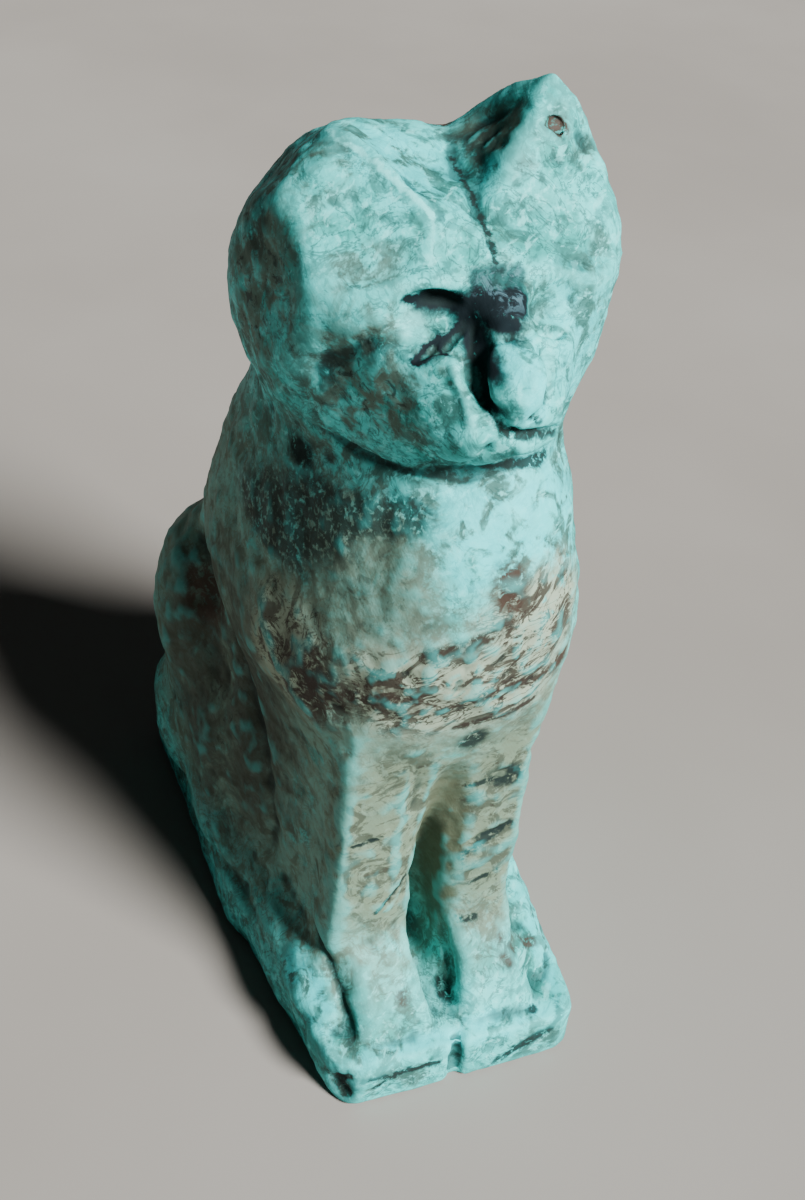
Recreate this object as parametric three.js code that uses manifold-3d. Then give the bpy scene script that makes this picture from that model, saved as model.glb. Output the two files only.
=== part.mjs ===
// A seated cat with upright ears on a low plinth, all carved from one small stone.
// Millimetres, +Z up. The cat faces -Y, and the origin is under the middle of the plinth.

import * as THREE from 'three';
import { mergeVertices } from 'three/addons/utils/BufferGeometryUtils.js';
import Module from 'manifold-3d';

// Driving dimensions
const CAT_HEIGHT = 56;
const PLINTH_LENGTH = 38;
const PLINTH_FRONT_WIDTH = 17.1;
const PLINTH_FRONT_SHIFT = 0.45;
const PLINTH_BACK_WIDTH = 20.6;
const PLINTH_TAPER_LENGTH = 17;
const PLINTH_HEIGHT = 4;
const PLINTH_CORNER = 1.4;
const PLINTH_EDGE = 0.45;
const NOTCH_WIDTH = 1.1;
const NOTCH_DEPTH = 0.7;
const NOTCH_PLACE = 0;
const UNDERCUT_LENGTH = 15;
const UNDERCUT_RUNOUT = 7;
const UNDERCUT_DEPTH = 1;
const UNDERCUT_INSET = 0.6;
const UNDERCUT_LEAN = -18;
const UNDERCUT_TURN = 7.6;
const EAR_HOLE_DIAMETER = 1.3;
const EAR_HOLE_FLOOR = 1;
const EAR_HOLE_DEPTH = 1.2;
const EAR_HOLE_TIP = -42;
const EAR_HOLE_PLACE = [9.5, -5.3, 96];
const SEAT_DEPTH = 0.8;

// The stone

const stone = new THREE.MeshStandardMaterial({ color: 0x8fb8a6, roughness: 0.5, metalness: 0 });

// Sculpting forms. Each gives the distance from a point to a surface, below zero inside.
// Their lengths are hundredths of the cat's height, measured up from the plinth's top.

const mixOf = (a, b, t) => a + (b - a) * t;
const limit = (value, low, high) => Math.min(high, Math.max(low, value));
const softMin = (a, b, k) => {
  const h = Math.max(k - Math.abs(a - b), 0) / k;
  return Math.min(a, b) - h * h * k / 4;
};
const softMax = (a, b, k) => -softMin(-a, -b, k);

// A rounded mass about a centre.
function lump([cx, cy, cz], [rx, ry, rz]) {
  return (x, y, z) => {
    const u = x - cx;
    const v = y - cy;
    const w = z - cz;
    const inner = Math.hypot(u / rx, v / ry, w / rz);
    const slope = Math.hypot(u / rx / rx, v / ry / ry, w / rz / rz);
    return slope > 0 ? inner * (inner - 1) / slope : -Math.min(rx, ry, rz);
  };
}

// A rounded bar from one point to another, with a radius at each end.
function bar([ax, ay, az], [bx, by, bz], ra, rb) {
  const dx = bx - ax;
  const dy = by - ay;
  const dz = bz - az;
  const square = dx * dx + dy * dy + dz * dz;
  return (x, y, z) => {
    const t = limit(((x - ax) * dx + (y - ay) * dy + (z - az) * dz) / square, 0, 1);
    return Math.hypot(x - ax - dx * t, y - ay - dy * t, z - az - dz * t) - mixOf(ra, rb, t);
  };
}

// One flat cut through a point, facing the given way.
function face([px, py, pz], [nx, ny, nz]) {
  const long = Math.hypot(nx, ny, nz);
  return (x, y, z) => ((x - px) * nx + (y - py) * ny + (z - pz) * nz) / long;
}

// A chiselled block between flat cuts, with its edges softened.
function block(soft, ...cuts) {
  return (x, y, z) => cuts.reduce((d, cut) => softMax(d, cut(x, y, z), soft), -1e3);
}

// An upright mass through level sections. Each section gives its height, its front, its back,
// its half width, and how much wider it is behind than in front.
function upright(sections, square) {
  const last = sections.length - 1;
  const valueAt = (above, t, i) => {
    const from = sections[above - 1];
    const to = sections[above];
    const before = sections[Math.max(above - 2, 0)];
    const after = sections[Math.min(above + 1, last)];
    const span = to[0] - from[0];
    const leaving = (to[i] - before[i]) / (to[0] - before[0]) * span;
    const arriving = (after[i] - from[i]) / (after[0] - from[0]) * span;
    const t2 = t * t;
    const t3 = t2 * t;
    return (2 * t3 - 3 * t2 + 1) * from[i] + (t3 - 2 * t2 + t) * leaving
      + (3 * t2 - 2 * t3) * to[i] + (t3 - t2) * arriving;
  };
  return (x, y, z) => {
    const level = limit(z, sections[0][0], sections[last][0]);
    const above = Math.max(sections.findIndex((s) => s[0] >= level), 1);
    const t = (level - sections[above - 1][0]) / (sections[above][0] - sections[above - 1][0]);
    const [front, back, half, flare] = [1, 2, 3, 4].map((i) => valueAt(above, t, i));
    const deep = (back - front) / 2;
    const along = (y - (front + back) / 2) / deep;
    const across = Math.abs(x) / (half * (1 + flare * limit(along, -1, 1)));
    const side = ((across ** square + Math.abs(along) ** square) ** (1 / square) - 1) * Math.min(half, deep);
    return Math.max(side, z - sections[last][0], sections[0][0] - z);
  };
}

const join = (soft, ...forms) => (x, y, z) => forms.reduce((d, f) => softMin(d, f(x, y, z), soft), 1e3);
const carve = (soft, body, ...tools) => (x, y, z) => (
  tools.reduce((d, tool) => softMax(d, -tool(x, y, z), soft), body(x, y, z)));
const mirror = (form) => (x, y, z) => form(-x, y, z);
const shifted = (form, by) => (x, y, z) => form(x - by, y, z);

// The trunk: chest, neck and rounded back, from the plinth up into the head.
const trunk = upright([
  [-2, -13, 30, 14, 0],
  [12, -15, 31, 14.5, 0],
  [24, -18, 30, 14.3, 0],
  [34, -22, 29, 16.2, 0],
  [44, -25.5, 28, 18.4, 0],
  [54, -27, 25, 16.5, 0.08],
  [64, -25, 19, 14.4, 0.14],
  [72, -20.5, 15.5, 13.4, 0.2],
  [84, -16, 12, 14, 0.1],
], 2.5);

// One front leg with its paw, between an inner and an outer side. The inner front edge is
// chiselled off, and the paw slopes down to the plinth's front edge.
const leg = (inner, outer) => join(1.5,
  block(1.8,
    face([outer, 0, 20], [1, 0, 0.02]),
    face([inner, 0, 0], [-1, 0, 0]),
    face([inner + 1.6, -22.3, 20], [-0.55, -0.83, 0]),
    face([0, -22.3, 20], [0, -1, 0.03]),
    face([0, -8, 0], [0, 1, 0]),
    face([0, 0, 40], [0, 0, 1]),
    face([0, 0, -2], [0, 0, -1])),
  block(1.6,
    face([11, 0, 0], [1, 0, 0.12]),
    face([1.6, 0, 0], [-1, 0, 0.12]),
    face([0, -31.8, 0], [0, -1, 0.2]),
    face([0, -16, 0], [0, 1, 0]),
    face([0, -22, 9], [0, -0.82, 1]),
    face([0, 0, -2], [0, 0, -1])),
);

// One haunch: hip, thigh, heel and the long hind foot along the plinth's side.
const haunch = join(5,
  lump([12.7, 19.5, 27], [8.9, 10.5, 13.2]),
  lump([11, 12, 13], [8.8, 18, 15]),
  lump([14.8, 23, 5], [5.9, 10, 9.5]),
  bar([14.2, 8, 2], [13.4, -25, 0.4], 5, 2.4),
);

// The hollow between the foreleg and the thigh.
const flank = lump([18.6, -4, 17], [4, 8, 15]);

const massed = join(3.2, trunk, leg(1.9, 10.3), mirror(leg(1.9, 12.2)), haunch, mirror(haunch));
const body = carve(4, massed, flank, mirror(flank));

// The head: a broad skull and a blunt muzzle that is turned a little to the right. The crown
// sinks to the brow, and falls away behind and towards the left ear.
const skull = upright([
  [65, -17, 11, 12, 0],
  [71, -19, 15.5, 15.8, 0.1],
  [76, -20, 17, 17, 0.08],
  [84, -19.3, 17.5, 17.7, 0],
  [88, -17, 15.5, 16.9, 0],
  [95, -7, 11, 13, 0],
], 2.4);
const crownCut = join(1.5, face([0.8, 0, 91.6], [0.35, -0.27, 1]), face([0.8, 0, 91.6], [-0.2, -0.27, 1]));
const crownSide = face([-12.1, 4.5, 89.6], [-0.7, 0.35, 0.62]);
const napeCut = face([0, 4.5, 93], [0.15, 0.5, 0.87]);
const jawCut = face([0, -10, 67.8], [0, -0.33, -1]);
const muzzle = lump([-1.7, -17.3, 78.4], [7.6, 9.6, 7.7]);

// The ears: solid pyramids. The right one is worn lower and wider.
const leftEar = block(1.2,
  face([15.7, -8.2, 88.4], [0.268, -0.813, 0.518]),
  face([9.9, -3.8, 99.6], [-0.74, 0.12, 0.64]),
  face([12.4, -4.5, 99.5], [0.882, 0.068, 0.467]),
  face([9, 4.4, 95.6], [0.1, 0.6, 0.8]), face([0, 6, 0], [0, 1, 0]),
  face([15.9, 0, 88], [1, 0, 0]), face([0, 0, 86], [0, 0, -1]));
const rightEar = block(1.2,
  face([-9.8, -0.5, 95], [-0.2, -0.45, 0.87]),
  face([-9.8, -0.5, 95], [0.35, -0.1, 0.93]),
  face([-10, 1, 94.5], [-0.3, 0.7, 0.6]),
  crownSide,
  face([-14.8, -8, 88], [-0.8, -0.6, 0]), face([0, 6, 0], [0, 1, 0]),
  face([0, -16.5, 0], [0, -1, 0]), face([0, 0, 86], [0, 0, -1]));

// The face: a blunt nose between two furrows, the whisker pads, and the eyes sunk under the brow.
const nose = bar([-0.8, -21.3, 82.6], [-1, -25.3, 80.6], 2.2, 2.8);
const pad = bar([-6.2, -19.5, 82], [-3.8, -22.8, 76.8], 2.4, 3.2);
const rightFurrow = bar([-3.4, -19.5, 87], [-3.9, -27, 79.3], 1, 1.2);
const leftFurrow = bar([1.9, -21.5, 86], [1.7, -28, 80], 0.7, 0.8);
const eye = lump([-7, -19, 84.7], [3.6, 2.8, 2]);
const underChin = lump([0.5, -26.5, 70.8], [5, 3.4, 2.2]);

const cranium = block(2.5, shifted(skull, -0.6), crownCut, crownSide, napeCut);
const plainHead = join(2, block(1.2, join(4, cranium, muzzle), jawCut), leftEar, rightEar);
const features = join(1.8, plainHead, nose, pad, shifted(mirror(pad), -2.2));
const head = carve(1.5, features, rightFurrow, leftFurrow, eye, shifted(mirror(eye), -1.4));

const cat = carve(1.2, join(2, body, head), underChin);

// The surface. The distance is sampled on an uneven grid, finer at the face, one corner is
// put in every crossed cell and pulled onto the surface, and neighbours are joined.

function steps(stops) {
  const marks = [];
  for (let i = 0; i + 1 < stops.length; i += 1) {
    const [from, size] = stops[i];
    const count = Math.round((stops[i + 1][0] - from) / size);
    for (let k = 0; k < count; k += 1) marks.push(mixOf(from, stops[i + 1][0], k / count));
  }
  marks.push(stops[stops.length - 1][0]);
  return marks;
}

function skin(form, xs, ys, zs) {
  const nx = xs.length;
  const ny = ys.length;
  const nz = zs.length;
  const at = (i, j, k) => (k * ny + j) * nx + i;
  const values = new Float64Array(nx * ny * nz);
  for (let k = 0; k < nz; k += 1) {
    for (let j = 0; j < ny; j += 1) {
      for (let i = 0; i < nx; i += 1) values[at(i, j, k)] = form(xs[i], ys[j], zs[k]);
    }
  }
  const corners = [];
  const index = new Map();
  const edges = [];
  for (let a = 0; a < 8; a += 1) {
    for (const bit of [1, 2, 4]) if (!(a & bit)) edges.push([a, a | bit]);
  }
  for (let k = 0; k + 1 < nz; k += 1) {
    for (let j = 0; j + 1 < ny; j += 1) {
      for (let i = 0; i + 1 < nx; i += 1) {
        const value = (c) => values[at(i + (c & 1), j + ((c >> 1) & 1), k + (c >> 2))];
        const place = (c) => [xs[i + (c & 1)], ys[j + ((c >> 1) & 1)], zs[k + (c >> 2)]];
        const sum = [0, 0, 0];
        let count = 0;
        for (const [a, b] of edges) {
          const va = value(a);
          const vb = value(b);
          if ((va < 0) === (vb < 0)) continue;
          const pa = place(a);
          const pb = place(b);
          const t = va / (va - vb);
          for (let m = 0; m < 3; m += 1) sum[m] += mixOf(pa[m], pb[m], t);
          count += 1;
        }
        if (!count) continue;
        const low = place(0);
        const room = place(7).map((v, m) => v - low[m]);
        index.set(at(i, j, k), corners.length);
        corners.push(settle(form, sum.map((s) => s / count), low, room));
      }
    }
  }
  const triangles = [];
  const quad = (a, b, c, d, flip) => {
    const [p, q, r, s] = [a, b, c, d].map((cell) => index.get(cell));
    const near = (m, n) => Math.abs(form(...corners[m].map((v, e) => (v + corners[n][e]) / 2)));
    const ring = flip ? [p, s, r, q] : [p, q, r, s];
    const turn = near(ring[0], ring[2]) <= near(ring[1], ring[3]) ? 0 : 1;
    const [e, f, g, h] = [0, 1, 2, 3].map((n) => ring[(n + turn) % 4]);
    triangles.push(e, f, g, e, g, h);
  };
  for (let k = 1; k + 1 < nz; k += 1) {
    for (let j = 1; j + 1 < ny; j += 1) {
      for (let i = 1; i + 1 < nx; i += 1) {
        const here = values[at(i, j, k)] < 0;
        if (here !== values[at(i + 1, j, k)] < 0) {
          quad(at(i, j - 1, k - 1), at(i, j, k - 1), at(i, j, k), at(i, j - 1, k), !here);
        }
        if (here !== values[at(i, j + 1, k)] < 0) {
          quad(at(i - 1, j, k - 1), at(i, j, k - 1), at(i, j, k), at(i - 1, j, k), here);
        }
        if (here !== values[at(i, j, k + 1)] < 0) {
          quad(at(i - 1, j - 1, k), at(i, j - 1, k), at(i, j, k), at(i - 1, j, k), !here);
        }
      }
    }
  }
  return { corners, triangles };
}

// Moves a corner down or up the slope of the distance until it lies on the surface, and keeps
// it off the walls of its cell.
function settle(form, point, low, room) {
  const step = 0.02;
  const margin = 0.1;
  const p = [...point];
  for (let round = 0; round < 4; round += 1) {
    const d = form(...p);
    const g = p.map((_, m) => {
      const ahead = [...p];
      ahead[m] += step;
      return (form(...ahead) - d) / step;
    });
    const square = g[0] ** 2 + g[1] ** 2 + g[2] ** 2;
    for (let m = 0; m < 3; m += 1) {
      p[m] = limit(p[m] - g[m] * d / square, low[m] + margin * room[m], low[m] + (1 - margin) * room[m]);
    }
  }
  return p;
}

// Solids

const wasm = await Module();
wasm.setup();

function solid(geometry) {
  const bare = geometry.clone();
  bare.deleteAttribute('normal');
  bare.deleteAttribute('uv');
  const merged = mergeVertices(bare, 1e-4);
  return new wasm.Manifold(new wasm.Mesh({
    numProp: 3,
    vertProperties: new Float32Array(merged.attributes.position.array),
    triVerts: new Uint32Array(merged.index.array),
  }));
}

function catGeometry() {
  const share = CAT_HEIGHT / 100;
  const sunk = (x, y, z) => Math.max(cat(x, y, z), -SEAT_DEPTH / share - z);
  const { corners, triangles } = skin(sunk,
    steps([[-24.6, 2.8], [-10, 1.3], [10, 2.8], [24.6, 2.8]]),
    steps([[-34.9, 1.6], [-10, 3.1], [36, 3.1]]),
    steps([[-6, 3.1], [65.9, 1.45], [104, 1.45]]));
  const geometry = new THREE.BufferGeometry();
  const position = corners.flatMap(([x, y, z]) => [x * share, y * share, z * share + PLINTH_HEIGHT]);
  geometry.setAttribute('position', new THREE.Float32BufferAttribute(position, 3));
  geometry.setIndex(triangles);
  return geometry;
}

// The plinth: parallel sides behind, tapering to the front, with rounded corners and edges.
function plinthGeometry() {
  const front = -PLINTH_LENGTH / 2 + PLINTH_EDGE;
  const back = PLINTH_LENGTH / 2 - PLINTH_EDGE;
  const turn = -PLINTH_LENGTH / 2 + PLINTH_TAPER_LENGTH;
  const narrow = PLINTH_FRONT_WIDTH / 2 - PLINTH_EDGE;
  const wide = PLINTH_BACK_WIDTH / 2 - PLINTH_EDGE;
  const outline = [
    [PLINTH_FRONT_SHIFT + narrow, front], [wide, turn], [wide, back],
    [-wide, back], [-wide, turn], [PLINTH_FRONT_SHIFT - narrow, front],
  ];
  const shape = roundedShape(outline, PLINTH_CORNER);
  const geometry = new THREE.ExtrudeGeometry(shape, {
    depth: PLINTH_HEIGHT - 2 * PLINTH_EDGE,
    bevelSize: PLINTH_EDGE,
    bevelThickness: PLINTH_EDGE,
    bevelSegments: 2,
    curveSegments: 5,
  });
  geometry.translate(0, 0, PLINTH_EDGE);
  return geometry;
}

// A closed outline with every corner turned on an arc-like curve.
function roundedShape(outline, radius) {
  const points = outline.map(([x, y]) => new THREE.Vector2(x, y));
  const shape = new THREE.Shape();
  points.forEach((corner, i) => {
    const before = points[(i + points.length - 1) % points.length];
    const after = points[(i + 1) % points.length];
    const enter = corner.clone().add(before.clone().sub(corner).setLength(radius));
    const leave = corner.clone().add(after.clone().sub(corner).setLength(radius));
    if (i === 0) shape.moveTo(enter.x, enter.y);
    else shape.lineTo(enter.x, enter.y);
    shape.quadraticCurveTo(corner.x, corner.y, leave.x, leave.y);
  });
  shape.closePath();
  return shape;
}

// Old damage. The notch stands in the plinth's front edge between the paws, and the right side
// of the front end is broken away underneath.

function placed(geometry, [turnX, turnY, turnZ], [x, y, z]) {
  const degree = Math.PI / 180;
  const turn = new THREE.Euler(turnX * degree, turnY * degree, turnZ * degree, 'ZYX');
  geometry.applyMatrix4(new THREE.Matrix4().makeRotationFromEuler(turn));
  geometry.translate(x, y, z);
  return solid(geometry);
}

function damage() {
  const front = -PLINTH_LENGTH / 2;
  const corner = PLINTH_FRONT_SHIFT - PLINTH_FRONT_WIDTH / 2;
  const notch = new THREE.CylinderGeometry(NOTCH_WIDTH / 2, NOTCH_WIDTH / 2, 3 * PLINTH_HEIGHT, 6);
  const outer = -2 * UNDERCUT_DEPTH;
  const outline = [
    [outer, -1], [0, -1], [0, UNDERCUT_LENGTH], [outer, UNDERCUT_LENGTH + UNDERCUT_RUNOUT],
  ];
  const shape = new THREE.Shape(outline.map(([x, y]) => new THREE.Vector2(x, y)));
  const undercut = new THREE.ExtrudeGeometry(shape, { depth: 4 * PLINTH_HEIGHT, bevelEnabled: false });
  undercut.translate(0, 0, -2 * PLINTH_HEIGHT);
  return [
    placed(notch, [90, 0, 0], [NOTCH_PLACE, front + NOTCH_WIDTH / 2 - NOTCH_DEPTH, 0]),
    placed(undercut, [0, UNDERCUT_LEAN, UNDERCUT_TURN], [corner + UNDERCUT_INSET, front, 0]),
  ];
}

// The drilled pit in the front of the left ear.
function earHole() {
  const share = CAT_HEIGHT / 100;
  const [x, y, z] = EAR_HOLE_PLACE.map((v) => v * share);
  const hole = new THREE.CylinderGeometry(EAR_HOLE_DIAMETER / 2, EAR_HOLE_FLOOR / 2, 2 * EAR_HOLE_DEPTH, 10);
  return placed(hole, [EAR_HOLE_TIP, 0, 0], [x, y, z + PLINTH_HEIGHT]);
}

const stoneBlock = solid(catGeometry()).add(solid(plinthGeometry()));
const whole = [...damage(), earHole()].reduce((left, tool) => left.subtract(tool), stoneBlock);
const mesh = whole.getMesh();
const geometry = new THREE.BufferGeometry();
geometry.setAttribute('position', new THREE.BufferAttribute(new Float32Array(mesh.vertProperties), 3));
geometry.setIndex(new THREE.BufferAttribute(new Uint32Array(mesh.triVerts), 1));
geometry.computeVertexNormals();

const figure = new THREE.Mesh(geometry, stone);
figure.name = 'cat_figure';

const group = new THREE.Group();
group.add(figure);

export default group;
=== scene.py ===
# A small seated cat in worn turquoise stone on its own plinth, one piece of carving.
# Metres, +Z up. The cat faces -Y and its right side is towards -X.

import math

import bmesh
import bpy
import numpy as np
from mathutils import Matrix, Vector, noise


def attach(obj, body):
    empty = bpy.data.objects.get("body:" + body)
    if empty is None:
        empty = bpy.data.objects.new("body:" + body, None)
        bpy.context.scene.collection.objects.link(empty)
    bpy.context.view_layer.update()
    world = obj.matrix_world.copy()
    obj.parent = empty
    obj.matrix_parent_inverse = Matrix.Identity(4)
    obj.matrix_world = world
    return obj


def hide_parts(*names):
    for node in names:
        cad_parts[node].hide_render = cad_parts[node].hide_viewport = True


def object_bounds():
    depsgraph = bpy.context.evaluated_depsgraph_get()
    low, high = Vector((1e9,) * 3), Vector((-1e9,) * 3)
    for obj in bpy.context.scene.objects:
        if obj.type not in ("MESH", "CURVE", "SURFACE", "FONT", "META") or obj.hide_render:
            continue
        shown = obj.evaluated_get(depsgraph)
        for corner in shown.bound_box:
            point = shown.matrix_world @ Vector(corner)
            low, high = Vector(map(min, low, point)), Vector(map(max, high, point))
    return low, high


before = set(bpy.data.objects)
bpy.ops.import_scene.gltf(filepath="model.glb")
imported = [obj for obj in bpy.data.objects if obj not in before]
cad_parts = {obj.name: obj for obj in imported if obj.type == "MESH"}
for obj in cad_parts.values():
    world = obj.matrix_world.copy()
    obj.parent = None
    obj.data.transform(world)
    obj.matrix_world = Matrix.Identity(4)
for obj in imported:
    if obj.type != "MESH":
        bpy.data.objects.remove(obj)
solid_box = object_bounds()


# The floor. A pale, dull sheet of board, far wider than the view, that the plinth stands on.
# It is not part of the figure.

MM = 0.001
BOARD_HALF = 900 * MM
BOARD_CLOUD = 90
BOARD_DARK = (0.235, 0.22, 0.20, 1)
BOARD_LIGHT = (0.27, 0.255, 0.235, 1)
BOARD_ROUGHNESS = 0.75

board_form = bmesh.new()
bmesh.ops.create_grid(board_form, x_segments=1, y_segments=1, size=BOARD_HALF)
board_mesh = bpy.data.meshes.new("board")
board_form.to_mesh(board_mesh)
board_form.free()
board = bpy.data.objects.new("board", board_mesh)
bpy.context.collection.objects.link(board)


class Signal:
    """A shader socket that takes part in arithmetic, adding one Math node for each step."""

    def __init__(self, tree, socket):
        self.tree = tree
        self.socket = socket

    def node(self, kind, settings=None, **inputs):
        """A new node. Its inputs are given by name, or by number as _0, _1 and so on."""
        made = self.tree.nodes.new(kind)
        for name, value in (settings or {}).items():
            setattr(made, name, value)
        for name, value in inputs.items():
            place = int(name[1:]) if name[0] == "_" else name.replace("_", " ")
            if isinstance(value, Signal):
                self.tree.links.new(value.socket, made.inputs[place])
            else:
                made.inputs[place].default_value = value
        return made

    def out(self, made, name=0):
        return Signal(self.tree, made.outputs[name])

    def math(self, operation, *values, clamp=False):
        inputs = {f"_{i}": value for i, value in enumerate(values)}
        settings = {"operation": operation, "use_clamp": clamp}
        return self.out(self.node("ShaderNodeMath", settings, **inputs))

    def __add__(self, other):
        return self.math("ADD", self, other)

    def __radd__(self, other):
        return self.math("ADD", other, self)

    def __sub__(self, other):
        return self.math("SUBTRACT", self, other)

    def __rsub__(self, other):
        return self.math("SUBTRACT", other, self)

    def __mul__(self, other):
        return self.math("MULTIPLY", self, other)

    def __rmul__(self, other):
        return self.math("MULTIPLY", other, self)

    def vector(self, operation, *values, output=0):
        inputs = {f"_{i}": value for i, value in enumerate(values)}
        made = self.node("ShaderNodeVectorMath", {"operation": operation}, **inputs)
        return self.out(made, output)

    def scaled(self, factors):
        """This position stretched or squeezed along each axis."""
        return self.vector("MULTIPLY", self, factors)

    def cloud(self, size, detail=3.0, rough=0.55, twist=0.0, shift=(0, 0, 0)):
        """Noise with features of about that size, in the units of this position."""
        placed = self.vector("ADD", self, shift)
        inputs = {"Scale": 1 / size, "Detail": detail, "Roughness": rough, "Distortion": twist}
        return self.out(self.node("ShaderNodeTexNoise", Vector=placed, **inputs), "Fac")

    def rise(self, low, high):
        """0 below low, 1 above high, smooth between."""
        settings = {"interpolation_type": "SMOOTHSTEP"}
        made = self.node("ShaderNodeMapRange", settings, Value=self, From_Min=low, From_Max=high)
        return self.out(made)

    def turned(self, angles):
        """This position turned about the origin, which leans a stretched pattern."""
        settings = {"rotation_type": "EULER_XYZ"}
        return self.out(self.node("ShaderNodeVectorRotate", settings, Vector=self, Rotation=angles))

    def blend(self, first, second):
        """The first colour where this is 0 and the second where it is 1."""
        made = self.node("ShaderNodeMix", {"data_type": "RGBA"}, _0=self, _6=first, _7=second)
        return self.out(made, 2)


def material(name):
    """A new material: its shader node, and the position on the piece in millimetres."""
    made = bpy.data.materials.new(name)
    made.use_nodes = True
    tree = made.node_tree
    shader = tree.nodes["Principled BSDF"]
    place = Signal(tree, tree.nodes.new("ShaderNodeTexCoord").outputs["Object"])
    return made, shader, place.scaled((1 / MM, 1 / MM, 1 / MM))


board_paint, board_shader, board_place = material("board_paint")
board_tint = board_place.cloud(BOARD_CLOUD, 4).rise(0.3, 0.7).blend(BOARD_DARK, BOARD_LIGHT)
board_paint.node_tree.links.new(board_tint.socket, board_shader.inputs["Base Color"])
board_shader.inputs["Roughness"].default_value = BOARD_ROUGHNESS
board_mesh.materials.append(board_paint)


# The figure's form. One small stone: the solid's own shape, ground finer and rubbed smooth, and
# finer again round the face, so that the small carving can be cut into it.

MERGE_GAP = 0.001 * MM
GRAIN = 0.30 * MM
RUB_PASSES = 5
FACE_PLACE = np.array((-0.8, -11.5, 49.8))
FACE_REACH = np.array((5.4, 5.2, 5.0))

stone_form = bmesh.new()
stone_form.from_mesh(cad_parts["cat_figure"].data)
bmesh.ops.remove_doubles(stone_form, verts=stone_form.verts, dist=MERGE_GAP)
blank_mesh = bpy.data.meshes.new("blank")
stone_form.to_mesh(blank_mesh)
stone_form.free()
blank = bpy.data.objects.new("blank", blank_mesh)
bpy.context.collection.objects.link(blank)
ground = blank.modifiers.new("ground", "REMESH")
ground.mode = "VOXEL"
ground.voxel_size = GRAIN
ground.adaptivity = 0
rubbed = blank.modifiers.new("rubbed", "SMOOTH")
rubbed.factor = 0.5
rubbed.iterations = RUB_PASSES
ground_down = blank.evaluated_get(bpy.context.evaluated_depsgraph_get())
figure_mesh = bpy.data.meshes.new_from_object(ground_down)
bpy.data.objects.remove(blank)

stone_form = bmesh.new()
stone_form.from_mesh(figure_mesh)
near_face = {
    corner for corner in stone_form.verts
    if np.linalg.norm((np.array(corner.co) / MM - FACE_PLACE) / FACE_REACH) < 1
}
face_edges = [edge for edge in stone_form.edges if near_face.issuperset(edge.verts)]
bmesh.ops.subdivide_edges(stone_form, edges=face_edges, cuts=1, use_grid_fill=True)
stone_form.to_mesh(figure_mesh)
stone_form.free()
figure = bpy.data.objects.new("carved_cat", figure_mesh)
bpy.context.collection.objects.link(figure)
for face in figure_mesh.polygons:
    face.use_smooth = True


# The carving. Everything is in millimetres. Flat places are rubbed down to a plane, and each
# cut or swelling pushes the stone in or out along its own surface direction near a path.

spots = np.zeros(len(figure_mesh.vertices) * 3)
figure_mesh.vertices.foreach_get("co", spots)
spots = spots.reshape(-1, 3) / MM


def outward():
    """The surface direction at every point."""
    figure_mesh.vertices.foreach_set("co", (spots * MM).ravel())
    figure_mesh.update()
    found = np.zeros(len(spots) * 3)
    figure_mesh.vertices.foreach_get("normal", found)
    return found.reshape(-1, 3)


def along(path):
    """Distance of every point from a path, and how far along the path it lies, 0 to 1.

    The path is first laid on the stone.
    """
    path = np.array([spots[np.argmin(np.linalg.norm(spots - place, axis=1))] for place in path])
    lengths = np.linalg.norm(np.diff(path, axis=0), axis=1)
    nearest = np.full(len(spots), 1e9)
    place = np.zeros(len(spots))
    done = 0.0
    for start, end, length in zip(path, path[1:], lengths):
        span = end - start
        t = np.clip((spots - start) @ span / (length * length), 0, 1)
        away = np.linalg.norm(spots - start - t[:, None] * span, axis=1)
        closer = away < nearest
        nearest = np.where(closer, away, nearest)
        place = np.where(closer, (done + t * length) / lengths.sum(), place)
        done += length
    return nearest, place


def near(centre, reach, steep=4.0):
    """1 close to a place, falling to 0 past its reach, more abruptly the steeper it is."""
    away = np.linalg.norm((spots - centre) / np.array(reach), axis=1)
    return np.exp(-(away ** steep))


def cut(depths):
    """Push every point in by its own depth, or out where that is below zero."""
    spots[:] = spots - outward() * depths[:, None]


def stroke(path, width, depth, fade=0.25, flat=2.0):
    """One stroke of the tool, shallower at both ends. Sharp at the bottom where flat is 1."""
    away, place = along(path)
    ends = np.clip(np.minimum(place, 1 - place) / fade, 0, 1) if fade else 1.0
    eased = ends * ends * (3 - 2 * ends)
    cut(depth * np.exp(-((away / width) ** flat)) * (0.2 + 0.8 * eased))


def dent(centre, reach, depth, steep=2.0):
    """One round dent, or a swelling where the depth is below zero."""
    cut(depth * near(centre, reach, steep))


def flatten(centre, facing, reach, share=0.8):
    """Rub the stone near a place down to a plane, or fill it up to the plane."""
    facing = np.array(facing) / np.linalg.norm(facing)
    above = (spots - centre) @ facing
    spots[:] = spots - (share * near(centre, reach) * above)[:, None] * facing


# Head: its flat planes, rubbed one by one.
flatten((-6.0, -7.4, 54.0), (-0.30, -0.53, 0.79), (4.2, 4.4, 3.8), 0.9)
flatten((-2.5, -3.2, 55.8), (0.33, -0.12, 0.93), (2.5, 3.6, 1.6), 0.8)
flatten((-9.75, -3.2, 50.6), (-1, -0.1, 0.06), (2.4, 5.4, 5.0), 0.95)
flatten((5.0, -5.6, 55.0), (0.15, -0.63, 0.76), (3.6, 4.0, 3.6), 0.8)
flatten((-6.2, -9.9, 47.2), (-0.8, -0.58, -0.14), (2.8, 3.4, 3.2), 0.9)
flatten((-3.9, -13.2, 48.5), (-0.62, -0.76, 0.2), (1.7, 1.8, 1.9), 0.8)
flatten((3.9, -11.3, 48.9), (0.78, -0.62, 0.11), (2.2, 3, 3.2), 0.7)
flatten((-0.3, -14.7, 50.2), (-0.05, -0.6, 0.8), (1.1, 1.6, 1.4), 0.6)

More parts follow.
